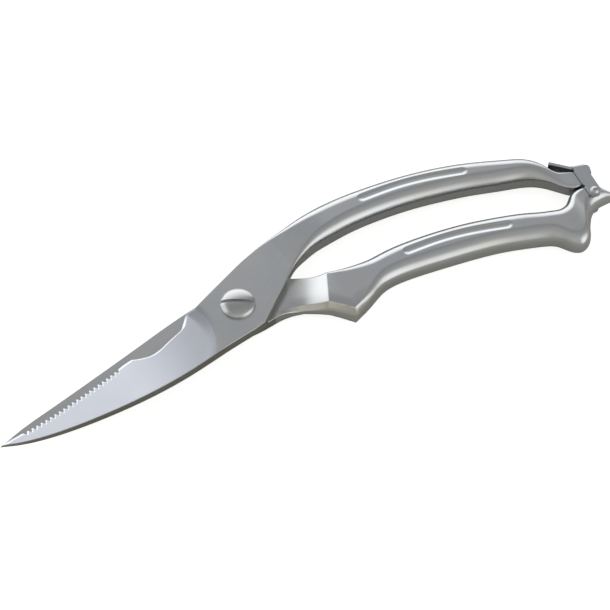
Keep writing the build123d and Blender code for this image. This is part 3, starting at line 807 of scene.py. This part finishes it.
# ------------------------------------------------------------------ stage, light, camera
FLOOR_SIZE, FLOOR_DROP = 12, 0.0002  # the floor lies a little below the object, so that no faces coincide
FLOOR_COLOUR, FLOOR_ROUGHNESS = (0.59, 0.58, 0.54, 1), 0.9
FLOOR_GLOW = 0.82  # added for the camera only
FAR = Vector((0.15, 0.9887, 0.0))  # axis of the sky: towards the far side of the table
# Position from the near horizon (0) over the zenith (0.5) to the far one (1), and brightness
SKY_STOPS = [(0.0, 0.46), (0.05, 0.52), (0.12, 0.56), (0.25, 0.49), (0.50, 0.40), (0.67, 0.335),
             (0.780, 0.325), (0.812, 0.52), (0.85, 1.08), (0.93, 1.50), (1.0, 1.70)]
WARM, COOLING = (1.01, 1.0, 0.93), (-0.03, 0.0, 0.10)  # colour of the near side, and how it changes
COOL_FROM = 0.7  # position from which the change is full
# Soft lamps: direction, where the glow starts and is full (cosines), strength
LAMPS = (((-0.68, 0.52, 0.50), 0.80, 0.99, 0.74), ((0.55, -0.82, 0.15), 0.66, 0.97, 0.78))


def floor():
    """A pale sweep. It looks white in the picture and softer grey in the steel, as a lit table does."""
    bpy.ops.mesh.primitive_plane_add(size=FLOOR_SIZE, location=(0, 0, -FLOOR_DROP))
    obj = bpy.context.object
    obj.name = "floor"
    material = bpy.data.materials.new("pale_floor")
    material.use_nodes = True
    nodes, links = material.node_tree.nodes, material.node_tree.links
    shader = nodes["Principled BSDF"]
    shader.inputs["Base Color"].default_value = FLOOR_COLOUR
    shader.inputs["Roughness"].default_value = FLOOR_ROUGHNESS
    shader.inputs["Specular IOR Level"].default_value = 0.0
    glow = nodes.new("ShaderNodeEmission")
    glow.inputs["Color"].default_value = (1, 1, 1, 1)
    glow.inputs["Strength"].default_value = FLOOR_GLOW
    pale = nodes.new("ShaderNodeAddShader")
    path = nodes.new("ShaderNodeLightPath")
    mix = nodes.new("ShaderNodeMixShader")
    links.new(shader.outputs[0], pale.inputs[0])
    links.new(glow.outputs[0], pale.inputs[1])
    links.new(path.outputs["Is Camera Ray"], mix.inputs["Fac"])
    links.new(shader.outputs[0], mix.inputs[1])
    links.new(pale.outputs[0], mix.inputs[2])
    links.new(mix.outputs[0], nodes["Material Output"].inputs["Surface"])
    obj.data.materials.append(material)


def cosine_to(tree, vector, direction):
    node = tree.nodes.new("ShaderNodeVectorMath")
    node.operation = "DOT_PRODUCT"
    node.inputs[1].default_value = direction
    tree.links.new(vector, node.inputs[0])
    return node.outputs["Value"]


def gradient(tree, vector):
    """The sky's own light, from the near side to the far side."""
    half = tree.nodes.new("ShaderNodeMapRange")
    half.inputs["From Min"].default_value = -1
    half.inputs["From Max"].default_value = 1
    tree.links.new(cosine_to(tree, vector, FAR), half.inputs["Value"])
    ramp = tree.nodes.new("ShaderNodeValToRGB")
    elements = ramp.color_ramp.elements
    elements[0].position = 0.0
    while len(elements) < len(SKY_STOPS):
        elements.new(0.5)
    for element, (position, value) in zip(elements, SKY_STOPS):
        element.position = position
        cool = min(1.0, position / COOL_FROM)
        element.color = (*(value * (warm + change * cool) for warm, change in zip(WARM, COOLING)), 1)
    tree.links.new(half.outputs["Result"], ramp.inputs["Fac"])
    return ramp.outputs["Color"]


def sky():
    """Soft studio surroundings: bright low on the far side, darkest just above that, grey elsewhere."""
    world = bpy.data.worlds.new("studio")
    bpy.context.scene.world = world
    world.use_nodes = True
    tree = world.node_tree
    vector = tree.nodes.new("ShaderNodeTexCoord").outputs["Generated"]
    light = gradient(tree, vector)
    for direction, start, full, strength in LAMPS:
        lobe = tree.nodes.new("ShaderNodeMapRange")
        lobe.interpolation_type = "SMOOTHSTEP"
        lobe.inputs["From Min"].default_value = start
        lobe.inputs["From Max"].default_value = full
        lobe.inputs["To Max"].default_value = strength
        tree.links.new(cosine_to(tree, vector, Vector(direction).normalized()), lobe.inputs["Value"])
        light = mixed(tree, "ADD", 1.0, light, grey(tree, lobe.outputs["Result"]))
    background = tree.nodes["Background"]
    tree.links.new(light, background.inputs["Color"])
    background.inputs["Strength"].default_value = 1.0


def softbox(name, at, towards, size, power):
    light = bpy.data.lights.new(name, "AREA")
    light.shape = "RECTANGLE"
    light.size, light.size_y = size
    light.energy = power
    obj = bpy.data.objects.new(name, light)
    obj.location = at
    obj.rotation_euler = (Vector(at) - Vector(towards)).to_track_quat("Z", "Y").to_euler()
    bpy.context.scene.collection.objects.link(obj)


def camera():
    data = bpy.data.cameras.new("camera")
    data.lens, data.sensor_width = 160, 36
    data.clip_start, data.clip_end = 0.05, 50
    obj = bpy.data.objects.new("camera", data)
    right = Vector((0.898794, -0.438371, 0.0))
    up = Vector((0.359093, 0.736249, 0.573576))
    back = Vector((-0.251439, -0.515527, 0.819152))
    turn = Matrix((right, up, back)).transposed().to_4x4()
    obj.matrix_world = Matrix.Translation((-0.228449, -0.524623, 0.826502)) @ turn
    bpy.context.scene.collection.objects.link(obj)
    bpy.context.scene.camera = obj


floor()
sky()
softbox("key", at=(0.30, 0.62, 0.95), towards=(0.06, 0, 0.01), size=(0.55, 0.30), power=0.02)
camera()
bpy.context.scene.view_settings.view_transform = "Standard"
